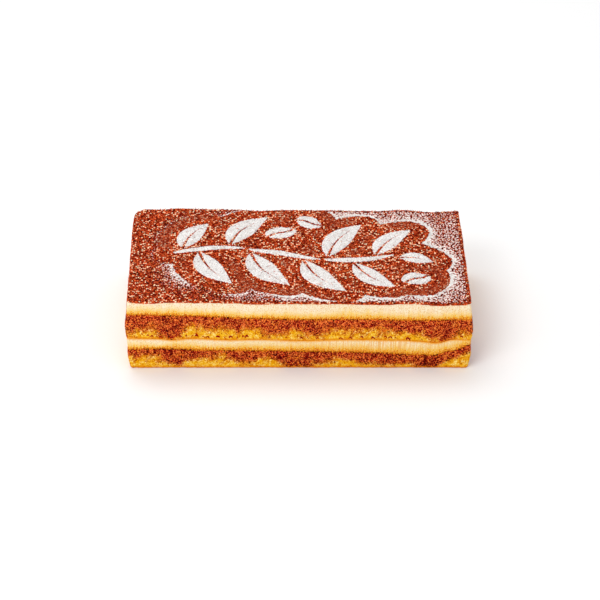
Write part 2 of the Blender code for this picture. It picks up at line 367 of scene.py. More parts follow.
def bean_half(spine, width, side):
    """The outline of half a bean, on one side of its slit."""
    trim = BEAN_SLIT / 2
    outer = np.maximum(width / 2 * swell(SHARES, BEAN_SWELL), trim + STROKE_END / 2)
    return band(spine, side * trim, side * outer)


def branch_outlines():
    """The outlines of the stem's strokes, the leaves and the beans' halves."""
    found = []
    pitch = (STEM_END - STEM_START + STEM_BRIDGE) / STEM_STROKES
    for i in range(STEM_STROKES):
        first = STEM_START + i * pitch

        def stem(share, first=first):
            x = first + (pitch - STEM_BRIDGE) * np.asarray(share)
            return stack(x, stem_height(x))
        found.append(stroke(stem, STEM_WIDTH))
    for x, side, lean, length, width, bend in LEAVES:
        foot = np.array([x, stem_height(x) + side * STEM_CLEAR])
        found.append(leaf(bent_line(foot, side * lean, length, bend), width))
    x, y, lean, length, width, bend = TIP_LEAF
    found.append(leaf(bent_line(np.array([x, y]), lean, length, bend), width))
    for x, y, lean, length, width in BEANS:
        ahead = direction(lean) * length
        aside = left_of(ahead) * BEAN_CURL

        def slit(share, middle=np.array([x, y]), ahead=ahead, aside=aside):
            share = np.asarray(share)[..., None]
            return middle + ahead * (share - 0.5) + aside * np.sin(2 * np.pi * share)
        found += [bean_half(slit, width, side) for side in (1, -1)]
    return found


BRANCH = branch_outlines()


def branch_distance(x, y):
    """The distance from each point to the nearest shape's edge, and below 0 inside a shape."""
    points = stack(x.ravel(), y.ravel())
    found = np.full(len(points), FAR)
    reach = BORDER + SUGAR_REACH
    for outline in BRANCH:
        near = ((points > outline.min(0) - reach) & (points < outline.max(0) + reach)).all(1)
        here = points[near]
        gap = np.full(len(here), np.inf)
        inside = np.zeros(len(here), bool)
        for a, b in zip(outline, np.roll(outline, -1, 0)):
            edge = b - a
            share = np.clip((here - a) @ edge / max(edge @ edge, TINY), 0, 1)
            gap = np.minimum(gap, np.hypot(*(here - a - share[:, None] * edge).T))
            crosses = (a[1] > here[:, 1]) != (b[1] > here[:, 1])
            if crosses.any():
                at = a[0] + (here[:, 1] - a[1]) / (edge[1] or TINY) * edge[0]
                inside ^= crosses & (here[:, 0] < at)
        found[near] = np.minimum(found[near], np.where(inside, -gap, gap))
    return found.reshape(x.shape)


# The share of the cocoa that loose sugar covers beyond the border.
DUST_TURN = (-75.0, 85.0)  # where the left ends along X, and how far on the right begins
DUST_LEFT = 0.05
DUST_GAIN = 0.63  # at the right
DUST_FAR = (0.62, 6.0)  # what is left of it beyond the border, and how far it fades to that
RIDGE_HELD = 0.4  # more beside the border, in patches
RIDGE_RIGHT = 0.35  # and at the right
RIDGE_WIDTH = 1.3
HAZE = 0.64  # more in a patch of blown sugar at the left
HAZE_PLACE = (-65.0, -23.0)
HAZE_REACH = (13.0, 17.0)
HAZE_FADE = 9.0
RIM_BARE = 2.6  # width of the edge that sugar has fallen from


def dust_share(x, y, gap):
    """How much of the cocoa the loose sugar covers beyond the bare border: most at the right end."""
    right = smooth((x - DUST_TURN[0]) / DUST_TURN[1])
    past = np.maximum(gap - BORDER, 0)
    fades = DUST_FAR[0] + (1 - DUST_FAR[0]) * np.exp(-past / DUST_FAR[1])
    patchy = 1 + 0.22 * flat_noise(x, y, 7, 31)
    held = smooth(0.5 + 2 * flat_noise(x, y, 11, 34))
    ridge = (RIDGE_HELD * held + RIDGE_RIGHT * right) * np.exp(-past / RIDGE_WIDTH)
    ragged = 0.5 * flat_noise(x, y, 1.3, 32)
    away = np.hypot((x - HAZE_PLACE[0]) / HAZE_REACH[0], (y - HAZE_PLACE[1]) / HAZE_REACH[1])
    blown = HAZE * smooth(1.4 - away) * np.exp(-past / HAZE_FADE)
    kept = smooth((rim_distance(x, y) + ragged - 0.1) / RIM_BARE)
    dust = (DUST_LEFT + DUST_GAIN * right) * fades * patchy + ridge + blown
    return np.where(gap + ragged > BORDER, kept * dust, 0)


# ------ meshes

def add_object(name, data):
    made = bpy.data.objects.new(name, data)
    bpy.context.scene.collection.objects.link(made)
    return made


def add_piece(name, points, faces, material, attributes, sharp=60):
    """A mesh from points in millimetres and arrays of faces, each with one row of corners per face.

    Edges that turn by more than sharp, in degrees, stay sharp. At 0 every face is flat.
    """
    mesh = bpy.data.meshes.new(name)
    corners = np.concatenate([f.ravel() for f in faces]).astype(np.int32)
    counts = np.concatenate([np.full(len(f), f.shape[1]) for f in faces])
    mesh.vertices.add(len(points))
    mesh.vertices.foreach_set("co", (points * MM).astype(np.float32).ravel())
    mesh.loops.add(len(corners))
    mesh.loops.foreach_set("vertex_index", corners)
    mesh.polygons.add(len(counts))
    mesh.polygons.foreach_set("loop_start", (np.cumsum(counts) - counts).astype(np.int32))
    mesh.update(calc_edges=True)
    mesh.validate()
    for key, values in attributes.items():
        layer = mesh.attributes.new(key, "FLOAT", "POINT")
        layer.data.foreach_set("value", np.asarray(values, np.float32).ravel())
    if sharp:
        mesh.shade_smooth()
        mesh.set_sharp_from_angle(angle=math.radians(sharp))
    mesh.materials.append(material)
    piece = add_object(name, mesh)
    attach(piece, "root")
    return piece


def strip_faces(upper, lower):
    """Quads between two closed loops of vertices that run counter-clockwise, facing outwards."""
    return stack(upper, lower, np.roll(lower, -1), np.roll(upper, -1))


def cap_faces(outer, inner, flip):
    """Faces between two loops of a cap, of which the inner one may skip points."""
    each = len(outer) // len(inner)
    rim = stack(*(np.roll(outer, -k)[::each] for k in range(each + 1)))
    found = np.concatenate([rim, np.roll(inner, -1)[:, None], inner[:, None]], -1)
    return found[:, ::-1] if flip else found


def cap_rings(last, plan, surface, bulge, flip, total):
    """Rings of points and faces that close a loop inwards over a surface, and each ring's step."""
    points, faces, skips = [], [], []
    for kept in CAP_RINGS:
        each = 1 if kept > CAP_FULL else CAP_SKIP
        x, y = (plan[::each] * kept).T
        ring = np.arange(total, total + len(x))
        total += len(x)
        points.append(spread(x, y, surface(x, y), bulge))
        faces.append(cap_faces(last, ring, flip))
        skips.append(each)
        last = ring
    faces.append((last[::-1] if flip else last)[None])
    return points, faces, skips


FRONT_TURN = (2.5, 1.5)  # how far behind the front its own measures start, and over which depth


class Side:
    """A layer's side: rows of points round the plan, from its floor to its ceiling."""

    def __init__(self, floor, ceiling, bulges, rows, step):
        self.floor, self.ceiling = floor, ceiling
        self.bottom, middle, self.top = bulges
        self.swollen = middle - (self.bottom + self.top) / 2
        self.ring, self.out = plan_ring(step)
        x, y = self.ring.T
        self.share = np.linspace(0, 1, rows + 1)[:, None]
        low, high = floor(x, y), ceiling(x, y)
        self.above = (high - low) * self.share
        self.below = (high - low) * (1 - self.share)
        self.points = spread(x, y, low + self.above, self.bulge(self.share))
        self.front = smooth((-HALF_DEEP + FRONT_TURN[0] - y) / FRONT_TURN[1])

    def bulge(self, share):
        return between((self.bottom, self.top), share) + self.swollen * np.sin(np.pi * share)

    def along_front(self, controls, elsewhere):
        """A measure from these controls along the front side, and this one on the other sides."""
        return elsewhere + (along(controls, self.ring[:, 0]) - elsewhere) * self.front

    def build(self, name, push, material, attributes):
        """The closed layer, with its side's points pushed out by these distances."""
        side = self.points.copy()
        side[..., :2] += self.out * push[..., None]
        rows, count = side.shape[:2]
        points = [side.reshape(-1, 3)]
        index = np.arange(rows * count).reshape(rows, count)
        faces = [strip_faces(index[r + 1], index[r]) for r in range(rows - 1)]
        total = rows * count
        rows_of = {key: np.broadcast_to(v, (rows, count)) for key, v in attributes.items()}
        values = {key: [v.ravel()] for key, v in rows_of.items()}
        for row, surface, flip in ((0, self.floor, True), (rows - 1, self.ceiling, False)):
            bulge = self.bulge(self.share[row])
            inner, cap, skips = cap_rings(index[row], self.ring, surface, bulge, flip, total)
            points += inner
            faces += cap
            total += sum(map(len, inner))
            for key, v in rows_of.items():
                values[key] += [v[row, ::each] for each in skips]
        joined = {key: np.concatenate(v) for key, v in values.items()}
        return add_piece(name, np.concatenate(points), faces, material, joined)


# ------ sponge

# Pores of the crumb: cell size, share of cells with a pore, its radius as a share of the cell, depth.
PORES = [(3.0, 0.16, 0.4, 0.75), (1.7, 0.4, 0.44, 0.55), (1.0, 0.7, 0.46, 0.38)]
PORE_VARIETY = 0.45  # how much smaller than that a pore can be, as a share
PORE_DARK = 0.6  # depth at which a pore's painted shade is darkest
CRUMB_FLAT = 1.2  # pores are this much longer than high
CRUMB_WARP = (0.35, 1.7)  # how far the cells are bent, and the bends' length

ARCH_PITCH = 2.9  # of the small arches in the sponge's lower skin
ARCH_PLACE = (0.15, 0.85)  # of their middles along the pitch
ARCH_HEIGHT = (1.7, 3.1)  # of their tops above the sponge's underside
ARCH_HALF = (0.35, 1.15)  # of their widths
ARCH_THICK = (0.45, 0.75)  # half the thickness of their line
ARCH_RISE = 0.9
ARCH_BLUR = 0.4

CRACK_WANDER = (0.5, 1.8)  # how far it leaves its place, and its waves' length
CRACK_DEPTH = 0.7
# Strength of the painted shade inside the crack.
CRACK_SHADE = 5.0
SOAK_ELSEWHERE = (0.62, 0.4)  # on the other sides, and how far it varies
SOAK_RAGGED = 0.2
SOAK_BLUR = 0.7
SKIN_ELSEWHERE = 0.6
LUMPS = (0.28, 2.6)  # height and length of a side's waves
FINE_LUMPS = (0.1, 0.8)
EDGE_ROUND = (0.14, 0.6)  # how far a side's edges lie back, and over which height
EDGE_CALM = 0.5  # height over which the pores fade at the edges
EDGE_PORES = 0.35  # share of their depth that is left there
DRY_PORES = 0.5  # the same in dry crumb


def crumb(points, seed):
    """How deep the crumb lies below the cut, and how dark its painted shade is there, from 0 to 1."""
    places = points * (1, 1, CRUMB_FLAT)
    bend, wave = CRUMB_WARP
    places = places + bend * stack(*(value_noise(places / wave, seed + 50 + k) for k in range(3)))
    depth = np.zeros(points.shape[:-1])
    for i, (cell, share, radius, deep) in enumerate(PORES):
        near, own = cells_near(places / cell, seed + 10 * i)
        size = radius * (1 - PORE_VARIETY + PORE_VARIETY * own / share)
        hole = np.where(own < share, smooth(1.25 * (1 - near / size)), 0)
        depth = np.maximum(depth, deep * hole)
    return depth, np.clip(depth / PORE_DARK, 0, 1)


def skin_line(points, above, shown, seed):
    """How dark the lower skin is: a row of loose arches of uneven size, of which a share shows."""
    run = (points[..., 0] - points[..., 1]) / ARCH_PITCH
    uneven = 0.35 * value_noise(points / 0.8, seed)
    found = 0 * above
    for neighbour in (-1, 0, 1):
        cell = np.floor(run) + neighbour
        luck = [hashed(stack(cell, 0, 0), seed + k) for k in range(1, 5)]
        aside = (run - cell - between(ARCH_PLACE, luck[0])) * ARCH_PITCH
        half = between(ARCH_HALF, luck[1])
        line = between(ARCH_HEIGHT, luck[2]) - ARCH_RISE * (aside / half) ** 2
        thick = between(ARCH_THICK, luck[1]) + uneven
        dark = (smooth((half + ARCH_BLUR / 2 - np.abs(aside)) / ARCH_BLUR)
                * smooth((thick - np.abs(above - line)) / ARCH_BLUR))
        found = np.maximum(found, np.where(luck[3] < shown, dark, 0))
    return found


def make_sponge(name, floor, ceiling, bulges, rows, soaked, strength, skin, crack, seed, material):
    """A layer of sponge with its crumb.

    Soaked says how far down the coffee has come along the front, strength how dark it is, and skin which
    share of the lower skin's arches shows there. Crack is a crack's place and half its width.
    """
    side = Side(floor, ceiling, bulges, rows, SIDE_STEP)
    p = side.points
    depth, pit_shade = crumb(p, seed)
    if crack:
        bend, wave = CRACK_WANDER
        aside = p[..., 0] - crack[0] + bend * value_noise(p / wave, seed + 40)
        open_here = np.exp(-(aside / crack[1]) ** 2) * side.front * smooth(side.share / 0.25)
        depth = np.maximum(depth, CRACK_DEPTH * open_here)
        # The open crack gets painted shade as well as its depth.
        pit_shade = pit_shade + CRACK_SHADE * open_here
    edge = np.minimum(side.above, side.below)
    rounding = EDGE_ROUND[0] * (1 - np.clip(edge / EDGE_ROUND[1], 0, 1)) ** 2

    elsewhere = SOAK_ELSEWHERE[0] + SOAK_ELSEWHERE[1] * value_noise(p / (13, 13, 40), seed + 7)
    reach = side.along_front(soaked, elsewhere) + SOAK_RAGGED * rough_noise(p / (5, 5, 4), 2, seed + 8)
    soak = smooth(0.5 + (side.share - (1 - reach)) / SOAK_BLUR)
    depth = depth * between((EDGE_PORES, 1), smooth(edge / EDGE_CALM)) * between((DRY_PORES, 1), soak)
    lumps = LUMPS[0] * rough_noise(p / LUMPS[1], 3, seed + 5)
    lumps = lumps + FINE_LUMPS[0] * value_noise(p / FINE_LUMPS[1], seed + 6)
    shown = side.along_front(skin, SKIN_ELSEWHERE) if skin else 0 * side.front
    attributes = {
        "soak": soak, "strong": reach + strength, "pit_shade": pit_shade, "above": side.above, "below": side.below,
        "skin": skin_line(p, side.above, shown, seed + 9)}
    piece = side.build(name + "_crumb", lumps - depth - rounding, material, attributes)
    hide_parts(name)


# ------ cream

# The cream's amber foot: its reach at the left and at the right, and the strength of the strokes there.
LOWER_WARMTH = (0.88, 1.18, 1.3)
UPPER_WARMTH = (0.84, 0.93, 0.25)
WARMTH_TURN = (-30.0, 70.0)  # where the left ends, and how far on the right begins
BARE = 9.0  # further than any colour seeps
CREAM_BACK = 0.12  # how far the cream lies behind the solid's side
DRAG = 0.07  # height of the knife's marks
DENTS = 0.14
PINHOLES = (2.4, 0.1, 0.16, 0.35)  # as the pores above


def make_cream(name, floor, ceiling, bulges, rows, warmth, lid, seed, material):
    """A layer of cream. Where lid is true, sponge lies on it and has coloured its upper edge too."""
    side = Side(floor, ceiling, bulges, rows, CREAM_STEP)
    p = side.points
    drag = value_noise(p / (1.1, 1.1, 30), seed) + 0.5 * value_noise(p / (0.6, 0.6, 18), seed + 1)
    dents = rough_noise(p / (5, 5, 4), 2, seed + 2)
    cell, share, radius, deep = PINHOLES
    near, own = cells_near(p / cell, seed + 3)
    pinhole = np.where(own < share, smooth(1.3 - near / radius), 0)
    push = DRAG * drag + DENTS * dents - deep * pinhole - CREAM_BACK
    stretch = 1 + 0.3 * value_noise(p / (9, 9, 50), seed + 4) + 0.25 * value_noise(p / (1.3, 1.3, 30), seed + 5)
    right = smooth((side.ring[:, 0] - WARMTH_TURN[0]) / WARMTH_TURN[1])
    stretch = stretch * between(warmth[:2], right)
    streaky = warmth[2] * right * (1 + 0.4 * value_noise(p / (16, 16, 99), seed + 6))
    below = side.below + (0 if lid else BARE)
    attributes = {"above": side.above / stretch, "below": below, "streaky": streaky}
    piece = side.build(name + "_layer", push, material, attributes)
    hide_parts(name)


# ------ cocoa and sugar

RELIEF_EDGE = (0.3, 0.65)  # how far outside a shape the sugar starts to rise, and over which width
CLUMP_GRAIN = (1.15, 0.24)  # size and height
FINE_GRAIN = (0.7, 0.12)
GRAIN_ROOM = 0.1  # between the solid's top and the grain's foot
DUNES = (4.0, 0.1)  # length and height of the powder's low waves
PRESSED_FLAT = 0.7  # share of its grain that pressed cocoa loses
SUGAR_FLAT = 0.6
RIM_DROP = 0.35  # of the top's edge, over RIM_WIDTH
RIM_WIDTH = 0.8
RIM_PALE = 0.4  # width of the paler edge

# The powder's hem: which share of the way down to the cream each ring lies, and how far out.
HEM = ((0.35, 0.1), (0.75, 0.16), (1.0, 0.1))
HEM_LIFT = 0.05
HEM_RAGGED = 0.5
HEM_BUMPS = 0.16


def pressed(x, y, gap):
    """How flat and dark the stencil has pressed the cocoa: in patches of the border's outer half."""
    patchy = smooth(0.45 + 1.7 * flat_noise(x, y, 14, 33))
    return smooth((gap - 2.5) / 2.5) * smooth((BORDER + 0.6 - gap) / 1.2) * patchy


def top_height(x, y, gap):
    """The height of the powdered top without its grain. The sugar's edge is soft and uneven."""
    ragged = 0.22 * flat_noise(x, y, 0.9, 41)
    sugar = SUGAR * smooth((RELIEF_EDGE[0] - gap - ragged) / RELIEF_EDGE[1])
    return cocoa_top(x, y) - GRAIN_ROOM + sugar


def grain_height(x, y, gap, press):
    """The powder's grain, flatter where the stencil has pressed it and in the sugar."""
    flat = stack(x, y, 0)
    near, own = cells_near(flat / CLUMP_GRAIN[0], 61)
    fine = cells_near(flat / FINE_GRAIN[0], 69)[0]
    sugar = smooth((0.2 - gap) / 0.5)
    grain = CLUMP_GRAIN[1] * (0.5 - near) * (0.5 + own) + FINE_GRAIN[1] * (0.5 - fine)
    dunes = DUNES[1] * rough_noise(flat / DUNES[0], 2, 71)
    return grain * (1 - PRESSED_FLAT * press) * (1 - SUGAR_FLAT * sugar) + dunes


def cocoa_hem(edge, plan, last, total):
    """Rings of points and faces from the top's edge down to the cream, and the last ring."""
    out = outward(edge)
    hang = HEM_RAGGED * rough_noise(stack(*plan.T / 2.2, 0), 3, 73) - HEM_LIFT
    drop = cocoa_floor(*plan.T) - hang - edge[:, 2]
    points, faces = [], []
    for down, bulge in HEM:
        bumps = bulge + HEM_BUMPS * value_noise(stack(*plan.T / 0.9, 3 * down), 75)
        points.append(np.column_stack([edge[:, :2] + out * bumps[:, None], edge[:, 2] + drop * down]))
        ring = np.arange(total, total + len(plan))
        faces.append(strip_faces(last, ring))
        last = ring
        total += len(plan)
    return points, faces, last


def make_cocoa(material):
    """The powdered top: a fine grid of its surface, a hem round it and a floor."""
    across = int(2 * HALF_LONG / TOP_STEP) // CAP_SKIP * CAP_SKIP
    deep = int(2 * HALF_DEEP / TOP_STEP) // CAP_SKIP * CAP_SKIP
    y = np.linspace(-HALF_DEEP, HALF_DEEP, deep + 1)[:, None] + np.zeros(across + 1)
    left, right = plan_limits(y)
    x = left + (right - left) * np.linspace(0, 1, across + 1)
    gap = branch_distance(x, y)
    press = pressed(x, y, gap)
    rim = rim_distance(x, y)
    drop = RIM_DROP * (1 - np.clip(rim / RIM_WIDTH, 0, 1)) ** 2
    top = spread(x, y, top_height(x, y, gap) + grain_height(x, y, gap, press) - drop, 0.0)

    index = np.arange(x.size).reshape(x.shape)
    quads = stack(index[:-1, :-1], index[:-1, 1:], index[1:, 1:], index[1:, :-1]).reshape(-1, 4)
    loop = np.concatenate([index[0], index[1:, -1], index[-1, -2::-1], index[-2:0:-1, 0]])
    points, faces = [top.reshape(-1, 3)], [quads]
    plan = stack(x, y).reshape(-1, 2)[loop]
    hem, hem_faces, last = cocoa_hem(points[0][loop], plan, loop, x.size)
    inner, cap, _ = cap_rings(last, plan, cocoa_floor, 0.0, True, last[-1] + 1)
    points += hem + inner
    faces += hem_faces + cap

    extra = sum(map(len, points)) - x.size
    edge = 1 - np.clip(rim / RIM_PALE, 0, 1)
    dust = dust_share(x, y, gap)
    values = {"gap": (gap, FAR), "dust": (dust, 0.0), "press": (press, 0.0), "rim": (edge, 1.0)}
    attributes = {key: np.append(shown, np.full(extra, beyond)) for key, (shown, beyond) in values.items()}
    piece = add_piece("cocoa_powder", np.concatenate(points), faces, material, attributes)
    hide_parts("cocoa_top")


# A grain with eight faces.
GRAIN_CORNERS = np.array([(1, 0, 0), (-1, 0, 0), (0, 1, 0), (0, -1, 0), (0, 0, 1), (0, 0, -1)], float)
GRAIN_FACES = np.array([
    (0, 2, 4), (2, 1, 4), (1, 3, 4), (3, 0, 4), (2, 0, 5), (1, 2, 5), (3, 1, 5), (0, 3, 5)])
GRAIN_CORNER = (0.55, 1.15)  # least and most distance of a corner from the middle
GRAIN_STRETCH = (0.7, 1.2)
GRAIN_FLAT = 0.6

COCOA_SIZE = (0.2, 0.4)  # least and most, of a grain
SUGAR_SIZE = (0.18, 0.38)
GRAIN_TRIES = 6  # places tried for each grain
SHAPE_GRAINS = 0.4  # share of those in the shapes that hold a grain
GRAIN_LIFT = (0.0, 0.5)  # as a share of its size
TINTS = (-0.3, 0.3)


def turned(rng, count):
    """Random rotations."""
    q = rng.normal(size=(count, 4))
    w, x, y, z = (q / np.linalg.norm(q, axis=1, keepdims=True)).T
    return np.stack([
        stack(1 - 2 * (y * y + z * z), 2 * (x * y - w * z), 2 * (x * z + w * y)),
        stack(2 * (x * y + w * z), 1 - 2 * (x * x + z * z), 2 * (y * z - w * x)),
        stack(2 * (x * z - w * y), 2 * (y * z + w * x), 1 - 2 * (x * x + y * y))], 1)


def scatter(name, places, sizes, attributes, rng, material):
    """One piece of many grains, each with its own shape, turn and attributes."""
    count = len(places)
    shape = GRAIN_CORNERS * rng.uniform(*GRAIN_CORNER, (count, 6, 1))
    shape = shape * rng.uniform(*GRAIN_STRETCH, (count, 1, 3))
    corners = np.einsum("nij,nkj->nki", turned(rng, count), shape) * sizes[:, None, None]
    corners[..., 2] *= GRAIN_FLAT
    points = (corners + places[:, None]).reshape(-1, 3)
    faces = (GRAIN_FACES[None] + 6 * np.arange(count)[:, None, None]).reshape(-1, 3)
    values = {key: np.repeat(v, 6) for key, v in attributes.items()}
    piece = add_piece(name, points, [faces], material, values, sharp=0)


def scatter_powders(cocoa, sugar):
    """Loose grains: brown ones on the cocoa, white ones where much sugar lies."""
    rng = np.random.default_rng(7)
    tries = GRAIN_TRIES * GRAINS
    x = rng.uniform(-HALF_LONG, HALF_LONG, tries)
    y = rng.uniform(-HALF_DEEP, HALF_DEEP, tries)
    left, right = plan_limits(y)
    held = (x > left + 0.1) & (x < right - 0.1)
    x, y = x[held], y[held]
    gap = branch_distance(x, y)
    dust = dust_share(x, y, gap)
    press = pressed(x, y, gap)
    luck = rng.random(len(x))
    white = np.where(gap < -0.1, luck < SHAPE_GRAINS, luck < 3 * dust - 2)
    brown = ~white & (gap > 0.3) & (rng.random(len(x)) > 0.9 * press)
    surface = spread(x, y, top_height(x, y, gap), 0.0)
    values = {"gap": gap, "dust": dust, "press": press, "tint": rng.uniform(*TINTS, len(x))}
    powders = (("cocoa_grains", brown, COCOA_SIZE, cocoa), ("sugar_grains", white, SUGAR_SIZE, sugar))
    for name, held, limits, material in powders:
        chosen = np.flatnonzero(held)[:GRAINS]
        sizes = rng.uniform(*limits, len(chosen))
        places = surface[chosen]
        places[:, 2] += sizes * rng.uniform(*GRAIN_LIFT, len(chosen)) + 0.05
        scatter(name, places, sizes, {key: v[chosen] for key, v in values.items()}, rng, material)


# ------ materials

NOISE_TURN = (0.5, 0.4, 0.6)  # of the noise's lattice, so that no flat side lies along it
STROKE_UNEVEN = 26.0  # radians by which the cream's strokes wander
SEEP_COLOURS = (1.0, 0.6, 0.3)  # shares of SEEP_DEPTH for red, green and blue light
SEEP_DEPTH = 1.2


class Nodes:
    """A short way to write a material's nodes."""

    def __init__(self, name):
        self.material = bpy.data.materials.new(name)
        self.material.use_nodes = True
        self.tree = self.material.node_tree
        self.shader = self.tree.nodes["Principled BSDF"]

    def add(self, kind, inputs=None, **settings):
        """A new node with these settings, and these numbers, colours or sockets for its inputs."""
        node = self.tree.nodes.new("ShaderNode" + kind)
        for key, value in settings.items():
            setattr(node, key, value)
        for key, value in (inputs or {}).items():
            self.put(node.inputs[key], value)
        return node

    def put(self, socket, value):
        if isinstance(value, bpy.types.NodeSocket):
            self.tree.links.new(value, socket)
        else:
            socket.default_value = value

    def attribute(self, name):
        return self.add("Attribute", attribute_name=name).outputs["Fac"]

    def places(self, scale, turn=(0, 0, 0)):
        """Object coordinates in millimetres, over a scale and then turned."""
        inputs = {"Vector": self.add("TexCoord").outputs["Object"],
                  "Rotation": turn, "Scale": tuple(1 / MM / s for s in scale)}
        return self.add("Mapping", inputs).outputs["Vector"]

    def noise(self, size, detail=2.0, rough=0.5, scale=(1, 1, 1), warp=0.0):
        """Noise from 0 to 1, with waves of this size."""
        inputs = {"Vector": self.places(tuple(size * s for s in scale), NOISE_TURN),
                  "Scale": 1.0, "Detail": detail, "Roughness": rough, "Distortion": warp}
        return self.add("TexNoise", inputs).outputs["Fac"]

    def centred(self, *settings, **named):
        """The same from -0.5 to 0.5."""
        return self.math("SUBTRACT", self.noise(*settings, **named), 0.5)

    def cell_number(self, size, flat=False):
        """A number from 0 to 1 for each cell, and the distance to the cell's middle."""
        made = self.add("TexVoronoi", {"Vector": self.places((size,) * 3), "Scale": 1.0},
                        voronoi_dimensions="2D" if flat else "3D")
        parts = self.add("SeparateColor", {"Color": made.outputs["Color"]})
        return parts.outputs[0], made.outputs["Distance"]

    def strokes(self, pitch):
        """Upright lines round the slab, with an uneven pitch."""
        run = self.add("VectorMath", {0: self.places((pitch,) * 3), 1: (1, -1, 0)},
                       operation="DOT_PRODUCT").outputs["Value"]
        uneven = self.noise(3.5, 1, 0.5, (1, 1, 20))
        turn = self.plus(self.times(run, 2 * math.pi), (uneven, STROKE_UNEVEN))
        return self.step(self.math("SINE", turn), -0.2, 0.9)

    def math(self, operation, *values):
        node = self.add("Math", operation=operation)
        for socket, value in zip(node.inputs, values):
            self.put(socket, value)
        return node.outputs[0]

    def times(self, a, b):
        return self.math("MULTIPLY", a, b)

    def plus(self, total, *terms):
        """The total with more added: each term is a value and its weight."""
        for value, weight in terms:
            total = self.math("MULTIPLY_ADD", value, weight, total)
        return total

    def ramp(self, value, stops, ease=False):
        """The ramp's colour at this value."""
        node = self.add("ValToRGB", {"Fac": value})
        bar = node.color_ramp
        bar.interpolation = "EASE" if ease else "LINEAR"
        while len(bar.elements) < len(stops):
            bar.elements.new(0.5)
        for element, (at, colour) in zip(bar.elements, stops):
            element.position = at
            element.color = (*srgb(*colour), 1)
        return node.outputs["Color"]

    def step(self, value, low, high, most=1.0):
        """0 at low and most at high, with a smooth way between. High may be the lower of the two."""
        inputs = {"Value": value, "From Min": low, "From Max": high, "To Max": most}
        return self.add("MapRange", inputs, interpolation_type="SMOOTHSTEP").outputs["Result"]

    def coated(self, colour, *coats):
        """The colour with coats over it in turn: each is a share of the surface and a colour."""
        for share, coat in coats:
            if isinstance(coat, tuple):
                coat = (*srgb(*coat), 1)
            colour = self.add("Mix", {0: share, 6: colour, 7: coat}, data_type="RGBA").outputs[2]
        return colour

    def bump(self, height, strength, size):
        node = self.add("Bump", {"Height": height, "Strength": strength, "Distance": size * MM})
        self.put(self.shader.inputs["Normal"], node.outputs["Normal"])

    def finish(self, colour, roughness, soft=0.0, shine=0.3):
        """The material with these looks. Soft is the share of light that seeps in."""
        looks = {
            "Base Color": colour, "Roughness": roughness, "Specular IOR Level": shine,
            "Subsurface Weight": soft, "Subsurface Radius": SEEP_COLOURS, "Subsurface Scale": SEEP_DEPTH * MM}
        for key, value in looks.items():
            self.put(self.shader.inputs[key], value)
        return self.material


# Colours from 0 to 255. A list of them is a ramp, with each colour's place from 0 to 1.
DRY_CRUMB = [(0.0, (255, 230, 140)), (0.2, (248, 198, 52)), (0.4, (234, 167, 2)), (0.6, (222, 140, 0)),
             (0.8, (202, 90, 0)), (1.0, (150, 26, 0))]
WET_CRUMB = [(0.0, (255, 132, 62)), (0.2, (234, 68, 26)), (0.4, (206, 8, 6)), (0.6, (172, 0, 0)),
             (0.8, (124, 0, 0)), (1.0, (76, 0, 0))]
THIN_COFFEE = (216, 104, 10)  # between the wet crumb and the dry
CRUMB_FOOT = (226, 122, 18)  # the lower edge of the sponge
CRUMB_BROW = (228, 140, 24)  # its upper edge
SKIN_BROWN = (198, 54, 10)
SKIN_DARK = (128, 0, 8)
# Painted shade of deep pores in the wet crumb.
PAINTED_PORE_SHADE = (44, 0, 0)
CREAM_RISE = [(0.0, (206, 98, 0)), (0.06, (236, 150, 0)), (0.13, (243, 176, 4)), (0.2, (246, 194, 62)),
              (0.28, (248, 210, 122)), (0.4, (250, 220, 156)), (0.56, (250, 229, 184)), (0.8, (251, 236, 208))]
CREAM_SPECKLE = (230, 182, 100)
CREAM_LINE = (241, 188, 108)
CREAM_STROKE = (234, 164, 56)
CREAM_LID = (242, 170, 34)  # the upper edge under sponge
COCOA_BROWN = [(0.0, (60, 2, 0)), (0.25, (114, 12, 2)), (0.5, (158, 40, 14)), (0.75, (202, 68, 30)),
               (1.0, (246, 116, 62))]
COCOA_PACKED = [(0.0, (84, 8, 0)), (0.5, (138, 40, 16)), (1.0, (190, 98, 64))]
COCOA_RIM = (208, 80, 26)
# Painted glints on the cocoa: a warm halo round a pale core.
PAINTED_GLINT_HALO = (248, 88, 26)
PAINTED_GLINT_CORE = (255, 246, 208)
PALE_GRAIN = (252, 164, 92)
SUGAR_WHITE = [(0.34, (174, 163, 159)), (0.47, (228, 224, 221)), (0.62, (254, 252, 251))]
SUGAR_LOOSE = (255, 252, 245)
SUGAR_THIN = (216, 112, 88)  # the brown showing through a fleck's edge
SUGAR_GRAIN = [(0.0, (222, 214, 210)), (0.4, (243, 240, 237)), (1.0, (255, 255, 254))]

CREAM_HEIGHT = 8.0  # of the cream's ramp
CLUMP = 0.9  # size of the cocoa's clumps
GLINT_SIZE = 1.0  # the same of its painted glints
FLECK = 1.3  # the same of the loose sugar's


